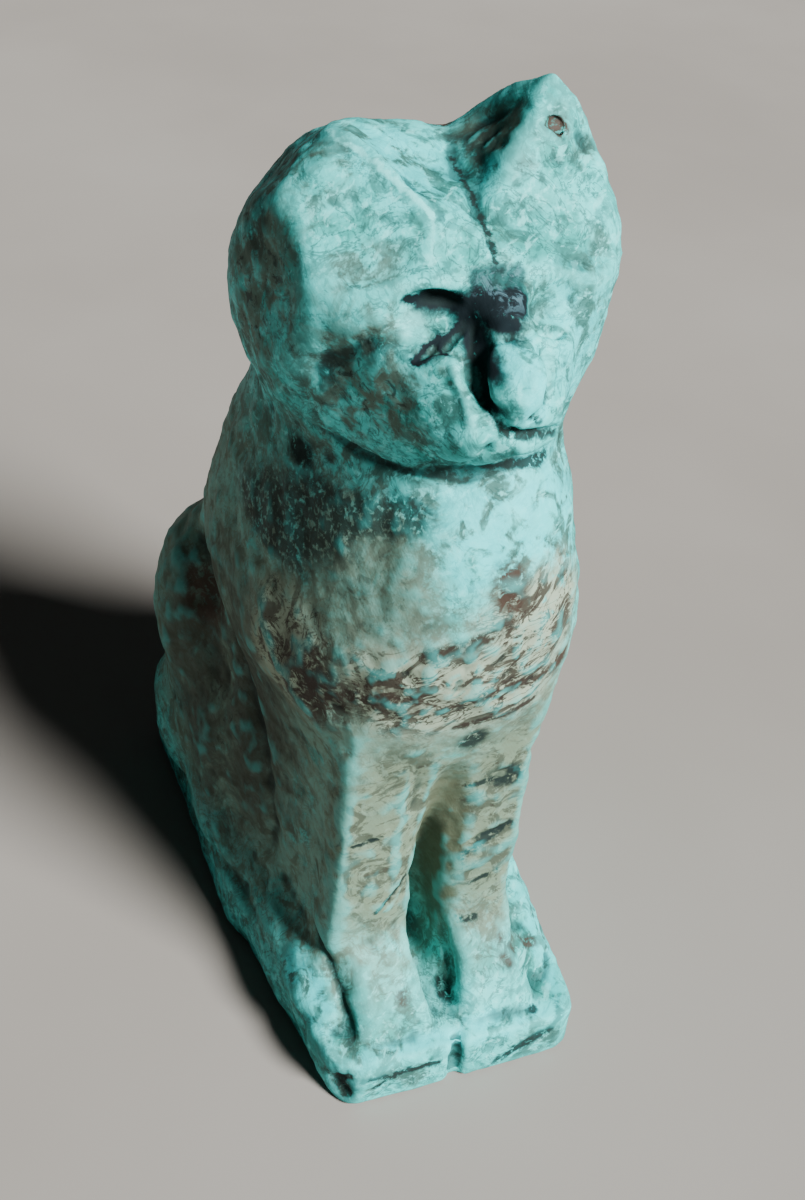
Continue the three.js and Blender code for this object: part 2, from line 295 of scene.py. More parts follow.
# The crease down the crown, the worn right ear's ridge, the left ear's pit and its broken side.
stroke([(1.9, 2.5, 55.5), (0.9, -0.7, 55.1), (0.6, -3.4, 54.8)], 0.5, 0.4, 0.2, 1)
stroke([(0.6, -3.4, 54.8), (0.3, -5.8, 54.7), (-0.1, -8.1, 54.3), (-0.2, -9.4, 53.6)],
       0.26, 0.35, 0.2, 1)
stroke([(-6.3, 0, 56.6), (-5.8, -0.9, 57.0), (-5.1, -2.1, 56.9), (-4.4, -3.9, 56.5),
        (-3.7, -5.1, 56.0), (-3.1, -6.4, 55.7), (-2.8, -7.3, 55.3)],
       0.32, -0.42, 0.2, 1.4)
stroke([(-2.8, -7.3, 55.3), (-3.2, -8.2, 54.5), (-3.6, -8.7, 54.0)], 0.24, -0.22, 0.3)
flatten((5.5, -3.0, 57.7), (0.15, -0.63, 0.76), (1.3, 1.3, 1.3), 0.97)
stroke([(4.9, -2.8, 57.9), (5.8, -3.2, 57.4), (6.1, -3.4, 57.1)], 0.32, 0.2, 0.2, 4)
stroke([(5.9, -3.3, 57.3), (5.9, -2.9, 58.0)], 0.25, 0.15, 0.2, 4)
dent((7.6, -3.2, 57.2), (0.8, 1.0, 1.1), 0.35, 4)
stroke([(2.2, 0.5, 56.0), (3.1, 1.1, 56.6), (4.2, -0.8, 57.9)], 0.5, 0.3, 0.3)

# The right eye under its brow, the lit facet below it, the furrow from it down the cheek, and
# the left eye's faint line.
flatten((-3.7, -11.0, 50.9), (-0.3, -0.62, 0.72), (1.5, 1.1, 1.1), 0.8)
stroke([(-7.6, -8.2, 51.7), (-5.6, -9.3, 52.8), (-3.6, -9.9, 53.3), (-2.0, -10.2, 53.4)],
       0.5, -0.3, 0.3)
stroke([(-4.6, -9.6, 52.1), (-3.7, -9.8, 52.1), (-2.8, -10.0, 52.15), (-1.8, -10.4, 52.25)],
       0.5, 0.65, 0.5, 3)
stroke([(-5.0, -9.6, 51.8), (-6.4, -9.4, 50.2), (-7.8, -8.2, 48.4), (-8.7, -6.6, 46.8)],
       0.6, 0.26, 0.3, 1.3)
stroke([(-5.2, -10.0, 50.8), (-6.2, -10.2, 49.0), (-6.4, -10.2, 47.0)], 0.8, -0.15, 0.3)
stroke([(-2.1, -10.6, 51.1), (-3.6, -11.6, 50.4)], 0.2, 0.35, 0.3)
stroke([(-3.4, -11.0, 50.7), (-5.0, -11.7, 50.0)], 0.2, 0.35, 0.3)
stroke([(0.9, -11.9, 51.5), (1.6, -12.0, 51.2), (2.5, -11.8, 51.0), (3.9, -10.6, 50.7)],
       0.2, 0.3, 0.3)

# The nose between its two furrows, and the whisker pad's ridge.
stroke([(-2.0, -10.6, 51.8), (-2.3, -12, 50.9), (-2.35, -13.2, 49.9), (-2.1, -14.1, 48.9)],
       0.55, 0.5, 0.2, 1)
stroke([(-2.3, -13.2, 49.9), (-2.0, -14.4, 48.6), (-1.5, -15.1, 47.7)], 0.3, 0.35, 0.2, 1)
stroke([(-1.1, -12.4, 51.2), (-1.25, -13.6, 50.2), (-1.1, -14.9, 49.0)], 0.5, -0.6, 0.25)
stroke([(1.4, -12.0, 51.3), (1.2, -13.2, 50.3), (1.1, -14.1, 49.4), (1.0, -14.9, 48.3)],
       0.3, 0.45, 0.25, 1.2)
stroke([(-1.2, -12.8, 51.6), (-0.3, -12.6, 51.8), (0.9, -12.6, 51.3)], 0.3, 0.35, 0.2)
dent((-0.1, -14.3, 50.2), (0.95, 1.3, 1.2), -0.35, 4)
stroke([(-3.5, -11.7, 50.6), (-3.4, -13.0, 49.9), (-3.1, -14.0, 48.8), (-2.7, -14.5, 47.4)],
       0.28, -0.24, 0.25)
dent((-3.0, -14.0, 47.5), (1.0, 0.8, 1.0), -0.25)
dent((0.0, -15.2, 48.5), (0.4, 0.5, 0.35), 0.5)
dent((0.5, -15.6, 48.3), (0.25, 0.4, 0.2), 0.25)

# The mouth, the lower lip and the hollow under the chin.
stroke([(2.4, -14.2, 46.8), (0.8, -14.9, 47.1), (-0.7, -15.1, 47.4), (-1.4, -15, 47.8)],
       0.25, 0.65, 0.12, 1.2)
stroke([(-1.4, -15, 47.8), (-2.1, -14.5, 46.6), (-2.5, -13.2, 44.8), (-2.4, -12, 43.7)],
       0.25, 0.5, 0.3, 1.2)
stroke([(-0.8, -14.8, 46.6), (0.8, -14.6, 46.3)], 0.4, -0.3, 0.3)
dent((1.0, -13.0, 45.0), (1.8, 1.1, 0.9), 0.7)
stroke([(-8.4, -4.4, 43.4), (-6.8, -7.6, 43.0), (-5.6, -9.2, 42.9), (-4.2, -10.9, 43.2),
        (-2.2, -11.9, 43.4), (0, -12.2, 43.5), (2.9, -11.4, 43.6)],
       0.3, 0.4, 0.12, 1.3)

# Body: the flat flank and leg fronts, the slot's bevel, the flats of the chest and shoulder, the
# shallow bottoms of the slot and of the gap between the paws, and the hollow behind the elbow.
flatten((-8.4, -3.2, 13.5), (-0.96, -0.28, 0.03), (3, 7, 9), 0.7)
flatten((-4.6, -12.5, 17.0), (-0.08, -1, 0.02), (2.4, 1.6, 7.5), 0.8)
flatten((3.6, -12.5, 17.0), (-0.04, -1, 0), (2.6, 1.6, 7.5), 0.8)
flatten((-2.2, -12.2, 17.5), (0.55, -0.83, 0), (0.9, 1.0, 8), 0.8)
flatten((-6.1, -11.3, 36.3), (-0.8, -0.56, 0.2), (3, 3, 4), 0.5)
flatten((-8.7, -2.2, 37.5), (-0.98, -0.09, 0.19), (2.5, 4, 4), 0.6)
flatten((0.4, -11.6, 15.5), (-0.2, -0.98, 0), (1.3, 1.4, 8.5), 0.6)
flatten((0.7, -13.6, 5.6), (0, -0.55, 0.84), (1.1, 2.4, 2.0), 0.75)
dent((-9.8, 6.5, 23.2), (1.6, 1.6, 2.0), 0.6)

# The line round each haunch with the thigh swelling inside it, and the left foreleg's back edge.
for side in (-1, 1):
    stroke([(8 * side, 15, 22.5), (9 * side, 9, 25.5), (9.5 * side, 3, 23.5),
            (9.5 * side, -2, 17.5), (9.5 * side, -4.5, 11), (9.5 * side, -4, 6.5)],
           0.8, 0.45, 0.25, 1.4)
    stroke([(9 * side, 8, 22.5), (9.5 * side, 3, 20.5), (9.5 * side, -1, 15), (9.5 * side, -2, 9)],
           1.6, -0.3, 0.3)
stroke([(9.5, -5.5, 26), (9, -7, 20), (8, -8, 13), (8, -8.5, 7)], 0.7, 0.4, 0.3, 1.4)

# The right elbow, the line between the right paw and the foot beside it, and nicks in the legs.
stroke([(-9.4, 0.1, 33.5), (-9.6, -4.7, 31.2), (-8.7, -8.5, 27.3), (-7.4, -10.6, 24.5)],
       0.8, -0.25, 0.3)
stroke([(-8.6, -9.7, 8.6), (-7.3, -12.4, 7.4), (-6.6, -14.6, 5.8), (-6.2, -16.6, 4.4)],
       0.35, 0.5, 0.2, 1.4)
flatten((-7.8, -12.8, 5.9), (-0.66, -0.4, 0.64), (1.1, 3.2, 1.4), 0.7)
stroke([(0.3, -12.4, 8.0), (0.6, -13.9, 6.0), (0.8, -15.6, 4.6)], 0.4, 0.35, 0.2)
stroke([(-1.9, -12.6, 13.4), (-1.6, -13.2, 8.6), (-1.2, -15.4, 5.4)], 0.35, -0.2, 0.2)
stroke([(-3.9, -12.9, 10.8), (-2.6, -12.7, 12.1), (-1.7, -12.2, 13.0)], 0.16, 0.22)
stroke([(1.7, -12.3, 14.8), (2.8, -12.6, 15.9), (4.5, -12.6, 16.3)], 0.22, 0.25)
stroke([(-5.7, -12.4, 17.2), (-4.1, -12.5, 17.6)], 0.15, 0.18)
dent((3.7, -12.5, 20.6), (1.0, 0.5, 0.8), 0.2, 4)

# Plinth: the notch in front and the flaked right corner.
stroke([(0, -18.6, 4.4), (0.3, -19, 0.3)], 0.5, 0.5, 0, 4)
dent((-7.9, -18.6, 1.6), (1.1, 1.1, 1.3), 0.5, 4)
dent((-5.9, -19, 3.9), (1.6, 0.5, 0.5), 0.2)

# The whole surface is uneven by hand: broad flats, then small flakes and pits.


def ripple(size, seed):
    """Smooth noise of about that size at every point, from -1 to 1."""
    offset = Vector((seed * 17.3, seed * 5.1, seed * 9.7))
    return np.array([noise.noise(Vector(p / size) + offset) for p in spots])


above_rest = np.clip((spots[:, 2] - 0.05) / 0.6, 0, 1)
cut(above_rest * (0.22 * ripple(3.6, 1) + 0.12 * ripple(1.3, 2) + 0.06 * ripple(0.6, 3)))

# It is rougher where it has crumbled round the chest, broken beside the left ear and flaked off
# the plinth's right corner. The flat underside stays flat, inside the solid's own box.
chest_band = near((-0.5, -14.6, 31.5), (7.5, 5, 3.6))
cut(chest_band * (0.16 * ripple(0.9, 4) + 0.1 * ripple(0.45, 5)))
ear_break = near((2.6, -0.8, 56.3), (1.5, 2.6, 1.6))
cut(ear_break * (0.14 * ripple(1.0, 6) + 0.1 * ripple(0.5, 7)))
lost_corner = near((-7.6, -18.4, 2.4), (1.6, 1.6, 2.0))
cut(lost_corner * (0.15 + 0.35 * ripple(1.1, 8) + 0.15 * ripple(0.5, 9)))
low, high = (np.array(corner) / MM for corner in solid_box)
spots = np.clip(spots, low, high)


# The hollows, kept on the mesh for the finish: above zero where a point lies deeper than the
# stone round it, and below zero on a ridge.

HOLLOW_PASSES = 9

facing = outward()
edge_ends = np.zeros(len(figure_mesh.edges) * 2, int)
figure_mesh.edges.foreach_get("vertices", edge_ends)
first, second = edge_ends.reshape(-1, 2).T
neighbours = np.bincount(first, minlength=len(spots)) + np.bincount(second, minlength=len(spots))


def averaged(values):
    """Each point's value replaced by the mean of its neighbours' values."""
    count = len(spots)
    total = np.bincount(first, values[second], count) + np.bincount(second, values[first], count)
    return total / neighbours


around = spots.copy()
for _ in range(HOLLOW_PASSES):
    around = np.stack([averaged(column) for column in around.T], axis=1)
hollow = ((around - spots) * facing).sum(axis=1)
depth_store = figure_mesh.attributes.new("hollow", "FLOAT", "POINT")
depth_store.data.foreach_set("value", hollow.astype(np.float32))

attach(figure, "root")
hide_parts("cat_figure")


# The stone's finish. Turquoise rubbed to a low polish: pale mint and teal, a band of cream and
# brown matrix round the chest, grey-green legs, and dark veins that have worn open. Colours are
# laid over one another in turn, each where its own mask says. Places are in millimetres.

stone, stone_shader, at = material("turquoise_stone")

MINT = (0.025, 0.33, 0.30, 1)
PALE = (0.07, 0.62, 0.60, 1)
FROST = (0.17, 0.80, 0.78, 1)
# The colour of the painted highlight.
HIGHLIGHT_MINT = (0.05, 0.74, 0.78, 1)
TEAL = (0.02, 0.09, 0.08, 1)
SLATE = (0.009, 0.020, 0.019, 1)
GREY = (0.10, 0.15, 0.115, 1)
SAGE = (0.20, 0.31, 0.235, 1)
BEIGE = (0.155, 0.215, 0.145, 1)
CREAM = (0.29, 0.37, 0.275, 1)
BROWN = (0.030, 0.022, 0.017, 1)
UMBER = (0.042, 0.050, 0.036, 1)
RUST = (0.048, 0.033, 0.024, 1)
OLIVE = (0.075, 0.088, 0.052, 1)
BLACK_TONE = (0.003, 0.009, 0.012, 1)
BLUE = (0.05, 0.115, 0.14, 1)


def shaken(scale, rough, width):
    """This position moved about by noise, up to half the width each way."""
    moves = at.node("ShaderNodeTexNoise", Vector=at, Scale=scale, Detail=4.0, Roughness=rough)
    low_side = at.vector("SUBTRACT", at, (width / 2, width / 2, width / 2))
    return at.vector("MULTIPLY_ADD", at.out(moves, "Color"), (width, width, width), low_side)


loose = shaken(0.7, 0.6, 2.8)
close = shaken(1.6, 0.65, 0.7)


def patch(centre, reach, edge=0.5, from_place=loose):
    """1 inside a ragged oval patch, 0 outside."""
    offset = at.vector("DIVIDE", at.vector("SUBTRACT", from_place, centre), reach)
    return 1 - at.vector("LENGTH", offset, output="Value").rise(1 - edge, 1 + edge)


def mark(centre, reach, edge=0.4):
    """A small patch that keeps close to its place."""
    return patch(centre, reach, edge, close)


VEIN_SQUASH = (1, 0.25, 1)


def vein(start, end, width):
    """1 along a ragged line between two points, 0 away from it.

    Distance from front to back counts for only a quarter, so the line stays on the stone.
    """
    span = [(e - s) * share for s, e, share in zip(start, end, VEIN_SQUASH)]
    square = sum(v * v for v in span)
    offset = at.vector("SUBTRACT", close, start).scaled(VEIN_SQUASH)
    along_it = at.vector("DOT_PRODUCT", offset, [v / square for v in span], output="Value")
    along_it = at.math("ADD", along_it, 0.0, clamp=True)
    parts = {axis: along_it * v for axis, v in zip("XYZ", span)}
    nearest = at.out(at.node("ShaderNodeCombineXYZ", **parts))
    away = at.vector("DISTANCE", offset, nearest, output="Value")
    return 1 - away.rise(width * 0.5, width * 1.3)


def most(*masks):
    """The strongest of several masks."""
    total = masks[0]
    for mask in masks[1:]:
        total = at.math("MAXIMUM", total, mask)
    return total


def lines(noise_mask, low, high):
    """1 along the lines where a noise passes its middle value, 0 between them."""
    return 1 - at.math("ABSOLUTE", noise_mask - 0.5).rise(low, high)


# The plain stone: mint and pale clouds, greyer areas, teal blots, scratches and fine veins, and
# frosty specks.
clouds = at.cloud(5.0, 4, 0.62, 0.8)
blots = at.cloud(1.5, 5, 0.6, 0.6)
specks = at.cloud(0.42, 4, 0.6, 0.3)
streaks = at.turned((0.5, 0.35, 0.7)).scaled((1.0, 0.22, 1.0)).cloud(0.55, 4, 0.62, 0.4)
marble = lines(at.cloud(2.6, 4, 0.66, 1.6, (2, 6, 9)), 0.004, 0.035)
grey_areas = at.cloud(7.0, 3, 0.5, 0, (9, 1, 4)).rise(0.42, 0.62)
speckled_areas = at.cloud(3, 2, 0.5, 0, (4, 4, 1)).rise(0.45, 0.6)

tint = clouds.rise(0.38, 0.58).blend(MINT, PALE)
tint = (grey_areas * blots.rise(0.44, 0.58) * 0.7).blend(tint, GREY)
tint = (blots.rise(0.49, 0.60) * 0.66).blend(tint, TEAL)
tint = (streaks.rise(0.52, 0.64) * 0.55).blend(tint, TEAL)
tint = (marble * 0.66).blend(tint, TEAL)
tint = ((1 - streaks).rise(0.54, 0.66) * 0.6).blend(tint, FROST)
tint = (specks.rise(0.57, 0.67) * speckled_areas * 0.4).blend(tint, FROST)

# Painted highlight: brighter colour where the light falls, on the chest, the left cheek, the crown,
# the nose and the plinth's top edges.
painted_highlight_zone = most(
    patch((2.0, -13.2, 40.4), (5.4, 4.0, 3.6)),
    patch((0.5, -18.4, 4.0), (8.0, 0.9, 0.8), 0.6),
    patch((8.3, -14.0, 5.0), (1.0, 5.0, 1.6), 0.5),
    patch((-8.0, -13.4, 5.2), (1.1, 4.4, 1.4), 0.5),
    patch((5.4, -11.5, 49.5), (3.0, 3.0, 4.0), 0.7) * 0.8,
    patch((-2.0, -2.6, 56.0), (3.4, 4.0, 2.0), 0.5) * 0.8,
    patch((-0.2, -14.0, 49.8), (1.3, 2.4, 1.9), 0.4),
)
tint = (painted_highlight_zone * (1 - blots.rise(0.46, 0.58)) * 0.7).blend(tint, HIGHLIGHT_MINT)

# Sage over the lower half, the right side, the back and the right of the chest: partly the stone's
# own grey-green, partly painted shade on the shaded side. Then painted shade in grey on the right
# side of the head, the neck and the flank, broken up by slate.
sage_clouds = at.cloud(3.0, 4, 0.6, 0.6, (6, 1, 8)).rise(0.25, 0.5)
slate_spots = at.cloud(0.8, 5, 0.65, 0.8, (6, 2, 2)).rise(0.55, 0.64)
sage_and_shade_zone = most(
    patch((-3.0, 0.0, 21.0), (14.0, 24.0, 18.0), 0.3),
    patch((-5.8, -10.5, 36.5), (4.8, 5.0, 4.6), 0.4),
) * (1 - painted_highlight_zone)
tint = (sage_and_shade_zone * sage_clouds * 0.75).blend(tint, SAGE)
tint = (sage_and_shade_zone * blots.rise(0.54, 0.62) * 0.7).blend(tint, GREY)
# Painted shade: grey and slate on the shaded right side of the head, the neck, the chest and the
# flank.
painted_shade_zone = most(
    patch((-6.4, -8.2, 53.0), (2.2, 1.8, 1.3)) * 0.5,
    patch((-6.2, -1.6, 56.8), (1.4, 1.2, 1.0)) * 0.8,
    patch((-7.6, -8.4, 50.6), (2.6, 2.6, 2.4)) * 0.7,
    patch((-6.6, -9.4, 47.6), (3.0, 3.4, 3.2)) * 0.9,
    patch((-7.6, -4.5, 41.0), (3.0, 5.0, 3.0)) * 0.5,
    patch((-5.4, -12.0, 35.6), (4.0, 3.4, 3.6)) * 0.5,
    patch((-9.5, 1.0, 20.0), (4.0, 8.0, 10.0), 0.7) * 0.9,
    patch((-10.0, -2.5, 50.0), (2.4, 5.0, 6.0), 0.6) * 0.9,
)
tint = (painted_shade_zone * blots.rise(0.36, 0.56) * 0.85).blend(tint, GREY)
tint = (painted_shade_zone * slate_spots * 0.8).blend(tint, SLATE)

# Painted shade in umber on the right flank, and an umber stain on the broken face beside the left
# ear.
flank_shade_zone = patch((-10.5, -1.0, 18.0), (3.4, 13.0, 12.5), 0.3)
tint = (flank_shade_zone * clouds.rise(0.3, 0.5) * 0.8).blend(tint, UMBER)
ear_face = patch((2.6, -1.0, 56.7), (1.8, 3.8, 2.0), 0.4)
ear_stain = at.cloud(1.2, 5, 0.65, 0.8, (3, 3, 9)).rise(0.28, 0.44)
tint = (ear_face * ear_stain * 0.9).blend(tint, UMBER)

# The matrix: grey-green legs with short level lines, and a cream band round the chest with
# leaning brown veins.
leg_zone = most(
    patch((-3.1, -12.2, 17.5), (4.0, 3.0, 9.0), 0.3),
    patch((4.0, -11.5, 17.0), (4.2, 4.6, 10.0), 0.4),
)
band_zone = most(
    patch((-1.5, -14.6, 30.4), (8.4, 4.6, 3.8), 0.4),
    patch((3.0, -14.2, 34.8), (4.0, 3.4, 3.6), 0.4),
    patch((-8.6, -7.6, 29.6), (3.0, 4.4, 4.0), 0.4) * 0.9,
)
leg_clouds = at.cloud(1.6, 4, 0.6, 0.5, (8, 8, 3)).rise(0.12, 0.34)
leg_umber = at.cloud(1.7, 4, 0.68, 1.2, (4, 4, 1)).rise(0.46, 0.58)
leg_lines = at.turned((0, 0.25, 0)).scaled((0.8, 0.8, 2.4)).cloud(1.4, 4, 0.7, 1.0).rise(0.57, 0.61)
leg_sage = at.cloud(0.9, 4, 0.6, 0.8, (1, 5, 7)).rise(0.54, 0.62)
band_clouds = at.cloud(1.5, 5, 0.62, 1.0, (7, 3, 1)).rise(0.29, 0.43)
leaning = at.turned((0, 0.45, 0)).scaled((0.55, 1, 1.2))
band_brown = leaning.cloud(1.9, 5, 0.68, 1.2, (2, 2, 8)).rise(0.49, 0.55)
band_veins = lines(leaning.cloud(2.6, 4, 0.7, 1.0, (3, 9, 2)), 0.003, 0.02)

tint = (leg_zone * leg_clouds * 0.95).blend(tint, BEIGE)
tint = (band_zone * band_clouds).blend(tint, CREAM)
tint = (leg_zone * leg_umber * 0.75).blend(tint, UMBER)
tint = (leg_zone * leg_lines * 0.5).blend(tint, BROWN)
tint = (leg_zone * leg_sage * 0.45).blend(tint, SAGE)
tint = (band_zone * band_brown * 0.9).blend(tint, BROWN)
tint = (band_zone * band_veins * 0.9).blend(tint, BROWN)

# Open brown seams across the chest and on the right shoulder, and rusty stains at their places.
seams = most(
    vein((-3.5, -14.6, 33.7), (0.8, -15.0, 35.4), 0.55),
    vein((-2.2, -14.3, 29.3), (1.1, -14.7, 30.6), 0.5),
    vein((1.1, -14.7, 30.6), (5.6, -12.9, 30.0), 0.5),
    vein((-0.8, -13.8, 27.2), (4.0, -13.4, 28.0), 0.35),
    vein((-6.8, -11.8, 29.4), (-3.6, -14.0, 30.4), 0.6),
    patch((-7.9, -9.8, 28.9), (2.2, 3.0, 3.0), 0.5),
    patch((-5.0, -13.2, 30.2), (2.6, 2.0, 1.3), 0.5) * 0.8,
)
ragged = at.cloud(0.7, 5, 0.65, 0.8, (2, 7, 1)).rise(0.36, 0.5)
tint = (seams * ragged * 0.95).blend(tint, BROWN)
rust = most(
    mark((0.7, -14.5, 37.4), (1.1, 2.0, 1.7)),
    mark((5.5, -13.2, 30.4), (1.1, 1.5, 0.9)),
    mark((1.8, 3.2, 55.6), (0.7, 0.7, 0.5)),
    mark((5.0, -14.4, 6.6), (0.7, 2.2, 1.3)) * 0.9,
    mark((7.2, -13.8, 5.6), (1.3, 0.5, 0.6)) * 0.9,
    mark((-2.8, -16.0, 6.1), (0.5, 0.6, 0.4)) * 0.8,
    mark((5.5, -2.9, 57.5), (0.9, 0.9, 0.7)),
    mark((-10.0, 6.6, 23.2), (1.8, 2.6, 2.6)) * 0.9,
    mark((-7.8, -18.4, 2.0), (1.0, 1.0, 1.3)),
)
blotched = at.cloud(0.8, 5, 0.65, 0.8, (5, 5, 5)).rise(0.38, 0.5)
tint = (rust * blotched).blend(tint, RUST)

# The dark, speckled band from the right shoulder to the throat.
shadowed = most(
    vein((-9.0, -3.0, 35.3), (-7.2, -7.8, 39.2), 1.5),
    vein((-7.2, -7.8, 39.2), (-4.2, -11.8, 41.2), 1.1),
)
tint = (shadowed * specks.rise(0.36, 0.5) * 0.85).blend(tint, SLATE)

# Dark veins, spots and stains at their own places, and painted shadow lines under the jaw and
# beside the right ear's ridge.
dark_marks_and_shade = most(
    patch((-7.8, -7.9, 47.9), (0.8, 1.0, 1.3), 0.5) * 0.8,
    patch((-5.9, -10.0, 50.1), (1.3, 1.2, 0.8), 0.6) * 0.8,
    mark((-7.8, -4.4, 40.8), (0.6, 1.5, 0.8)),
    mark((-9.8, -1.6, 52.8), (0.7, 1.4, 1.8)) * 0.6,
    mark((-5.7, -2.3, 56.7), (1.0, 0.8, 0.6)) * 0.6,
    mark((2.4, -0.8, 56.0), (1.0, 1.6, 1.2)) * 0.6,
    mark((7.4, -3.0, 57.0), (0.7, 0.7, 0.8)) * 0.7,
    vein((1.7, -12.3, 14.0), (2.9, -12.5, 15.2), 0.3),
    vein((2.9, -12.5, 15.2), (4.7, -12.5, 16.4), 0.42),
    mark((0.7, -13.3, 25.4), (1.0, 1.0, 1.3)),
    mark((3.9, -12.5, 20.9), (1.5, 1.2, 1.0)) - mark((3.4, -12.5, 21.1), (0.5, 1.0, 0.35)),
    vein((1.1, -12.0, 20.4), (3.0, -12.4, 20.7), 0.25),
    vein((2.9, -19.0, 0.7), (4.8, -19.0, 2.0), 0.36),
    vein((4.4, -19.0, 1.8), (6.8, -19.0, 2.9), 0.5),
    mark((-7.4, -18.5, 2.0), (1.1, 1.0, 1.6)),
    vein((-1.4, -14.7, 47.6), (1.9, -14.1, 46.6), 0.25),
    vein((-0.2, -15.2, 48.6), (0.4, -15.3, 48.1), 0.3),
    # Painted shadow under the jaw.
    vein((-0.6, -12.3, 43.7), (3.2, -11.4, 43.3), 0.32),
    # Painted shadow beside the right ear's ridge.
    vein((-5.2, -1.0, 56.9), (-2.3, -6.9, 55.2), 0.3) * 0.7,
    patch((-6.2, -1.2, 56.9), (1.3, 1.0, 0.9), 0.5) * 0.6,
    vein((0.9, -0.7, 55.1), (0.3, -5.8, 54.7), 0.16),
    vein((0.3, -5.8, 54.7), (-0.2, -9.4, 53.7), 0.16),
    vein((2.7, -12.5, 11.4), (4.4, -12.5, 12.1), 0.24),
    vein((2.0, -13.0, 8.6), (3.2, -13.4, 8.7), 0.22),
    vein((-5.8, -12.4, 17.2), (-4.0, -12.4, 17.7), 0.16),
    vein((-3.9, -12.8, 11.0), (-1.8, -12.3, 13.0), 0.22),
    mark((0.7, -14.9, 4.3), (0.6, 1.1, 0.7)),
    vein((2.6, -19.0, 0.5), (6.0, -19.0, 2.5), 0.28),
    vein((6.0, -19.0, 2.5), (7.6, -18.8, 3.8), 0.28),
    vein((-6.2, -19.0, 2.7), (-1.1, -19.0, 2.6), 0.26),
    vein((-5.4, -19.0, 1.8), (-3.2, -19.0, 2.9), 0.2),
    mark((5.8, -17.9, 4.1), (0.5, 0.3, 0.3)),
    mark((4.8, -8.9, 52.9), (0.8, 0.5, 0.5)) * 0.6,
    mark((6.9, -6.2, 53.8), (0.4, 0.5, 0.7)) * 0.5,
)
worn_open = at.cloud(0.6, 4, 0.65, 0.6, (5, 2, 5)).rise(0.36, 0.48)
tint = (dark_marks_and_shade * worn_open * 0.95).blend(tint, SLATE)

# The black patch between the eyes, with a blue bloom; painted shade in black in the right eye under
# its brow; and black down the furrow, partly a stain and partly painted shade.
black_and_eye_shade = most(
    vein((-1.4, -9.9, 53.2), (0.9, -10.0, 53.1), 0.5) * 0.8,
    vein((-1.5, -10.8, 52.4), (0.6, -10.8, 52.3), 0.75),
    vein((-1.2, -11.6, 51.9), (-0.2, -12.1, 51.7), 0.6),
    # Painted shade in the right eye's socket under the brow.
    vein((-4.9, -9.3, 52.25), (-3.7, -9.7, 52.05), 0.34),
    vein((-3.7, -9.7, 52.05), (-2.0, -10.2, 52.0), 0.75),
    # The furrow: partly a stain, partly painted shade on its steep side.
    vein((-1.9, -10.9, 51.5), (-1.9, -12.6, 50.4), 0.75),
    vein((-1.8, -12.6, 50.4), (-1.7, -14.0, 48.7), 0.34),
    vein((-2.1, -10.6, 51.1), (-3.6, -11.6, 50.4), 0.24),
    vein((-3.4, -11.0, 50.7), (-5.0, -11.7, 50.0), 0.24),
)
bloom = at.cloud(0.9, 5, 0.7, 1.0, (1, 6, 4)).rise(0.5, 0.62)
bloom = bloom * mark((0.1, -10.2, 52.8), (1.7, 1.8, 0.9), 0.5)
black_and_shade_edge = at.cloud(0.6, 4, 0.65, 0.5, (1, 6, 4)).rise(0.2, 0.36)
tint = (black_and_eye_shade * black_and_shade_edge).blend(tint, bloom.blend(BLACK_TONE, BLUE))

# Painted shade in the hollows, darker where the stone lies deeper than round it; painted shade in
# olive on the slot's floor between the legs; and wear on the ridges.
depth = at.out(at.node("ShaderNodeAttribute", {"attribute_name": "hollow"}), "Fac")
slot_zone = patch((0.5, -12.5, 11.0), (1.9, 4.0, 12.0), 0.3)
hollow_shade = depth.rise(0.015, 0.13) * (1 - most(rust, slot_zone) * 0.8)
worn = 1 - depth.rise(-0.10, -0.02)
tint = (hollow_shade * 0.72).blend(tint, SLATE)
# Painted shade in olive on the slot's floor between the legs.
slot_shade = patch((0.5, -10.9, 14.0), (1.7, 2.0, 9.5), 0.3)
tint = (slot_shade * clouds.rise(0.2, 0.45) * 0.85).blend(tint, OLIVE)
tint = (worn * (1 - black_and_eye_shade) * 0.35).blend(tint, PALE)

# Painted highlight in frost-pale colour on the lit facet below the eye, the whisker pad's ridge and
# the right ear's ridge.
face_highlight = most(
    mark((-4.5, -10.2, 51.1), (0.8, 1.0, 0.8)),
    vein((-3.4, -12.6, 50.2), (-2.8, -14.4, 47.6), 0.22) * 0.7,
)
tint = (face_highlight * (1 - black_and_eye_shade) * (1 - blots.rise(0.5, 0.6)) * 0.35).blend(tint, FROST)
ear_ridge_highlight = most(
    vein((-5.9, -0.8, 57.0), (-4.4, -3.9, 56.5), 0.2),
    vein((-4.4, -3.9, 56.5), (-2.8, -7.3, 55.3), 0.2),
    vein((-2.8, -7.3, 55.3), (-3.4, -8.4, 54.3), 0.14) * 0.5,
)
tint = (ear_ridge_highlight * 0.75).blend(tint, FROST)

# The surface: a low polish, duller in the dark marks and the painted shade of the hollows, with
# fine scratches.
POLISHED = 0.58
SHEEN = 0.18
SCRATCH_DEPTH = 0.12 * MM

tree = stone.node_tree
tree.links.new(tint.socket, stone_shader.inputs["Base Color"])
dullness = POLISHED + blots.rise(0.4, 0.7) * 0.15 + most(dark_marks_and_shade, black_and_eye_shade) * 0.2 + hollow_shade * 0.1
tree.links.new(dullness.socket, stone_shader.inputs["Roughness"])
scratches = at.turned((0.2, 0.5, 0.4)).scaled((3.0, 0.2, 1.0)).cloud(0.5, 2, 0.5)
relief = at.cloud(0.5, 4, 0.6) * 0.5 + scratches * 0.3 + blots * 0.5
bump = at.node("ShaderNodeBump", Height=relief, Strength=0.4, Distance=SCRATCH_DEPTH)
tree.links.new(bump.outputs["Normal"], stone_shader.inputs["Normal"])
stone_shader.inputs["Specular IOR Level"].default_value = SHEEN
figure_mesh.materials.clear()
figure_mesh.materials.append(stone)


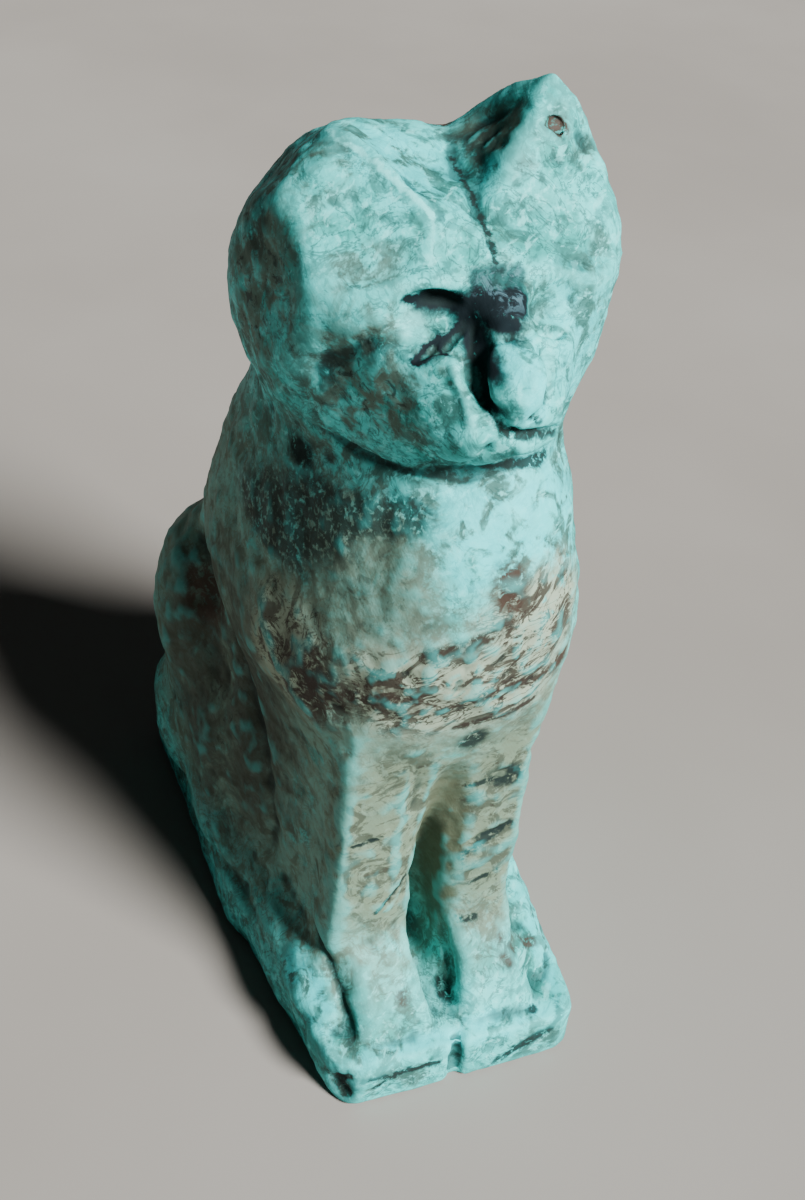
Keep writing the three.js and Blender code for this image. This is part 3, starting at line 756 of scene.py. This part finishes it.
# Light and view. One broad soft light, high in front of the cat on its left, over a faint even
# one, and a close lens that looks down on the cat from its front right.

KEY_FROM = Vector((0.38, -0.66, 0.64))
KEY_STRENGTH = 10.8
KEY_SPREAD = math.radians(20)
KEY_COLOUR = (1.0, 0.99, 0.97)
STUDIO_COLOUR = (0.9, 0.92, 0.95, 1)
STUDIO_STRENGTH = 0.034

key_light = bpy.data.lights.new("key_lamp", "SUN")
key_light.angle = KEY_SPREAD
key_light.energy = KEY_STRENGTH
key_light.color = KEY_COLOUR
key_lamp = bpy.data.objects.new("key_lamp", key_light)
key_lamp.rotation_mode = "QUATERNION"
key_lamp.rotation_quaternion = (-KEY_FROM).to_track_quat("-Z", "Y")
bpy.context.collection.objects.link(key_lamp)

studio = bpy.data.worlds.new("studio")
studio.use_nodes = True
glow = studio.node_tree.nodes["Background"]
glow.inputs["Color"].default_value = STUDIO_COLOUR
glow.inputs["Strength"].default_value = STUDIO_STRENGTH
bpy.context.scene.world = studio

EYE = Vector((-31.13, -68.85, 84.89)) * MM
AZIMUTH = math.radians(-25.3)
ELEVATION = math.radians(38)
ROLL = math.radians(6.8)
FOCAL_LENGTH = 45
SENSOR_WIDTH = 36
NEAREST = 5 * MM
FARTHEST = 3

back = Vector((
    math.sin(AZIMUTH) * math.cos(ELEVATION),
    -math.cos(AZIMUTH) * math.cos(ELEVATION),
    math.sin(ELEVATION),
))
level = Vector((math.cos(AZIMUTH), math.sin(AZIMUTH), 0))
rising = back.cross(level)
right = math.cos(ROLL) * level + math.sin(ROLL) * rising
upper = math.cos(ROLL) * rising - math.sin(ROLL) * level
lens = bpy.data.cameras.new("lens")
lens.lens = FOCAL_LENGTH
lens.sensor_width = SENSOR_WIDTH
lens.clip_start = NEAREST
lens.clip_end = FARTHEST
camera = bpy.data.objects.new("camera", lens)
turn = Matrix((right, upper, back)).transposed().to_4x4()
camera.matrix_world = Matrix.Translation(EYE) @ turn
bpy.context.collection.objects.link(camera)
bpy.context.scene.camera = camera
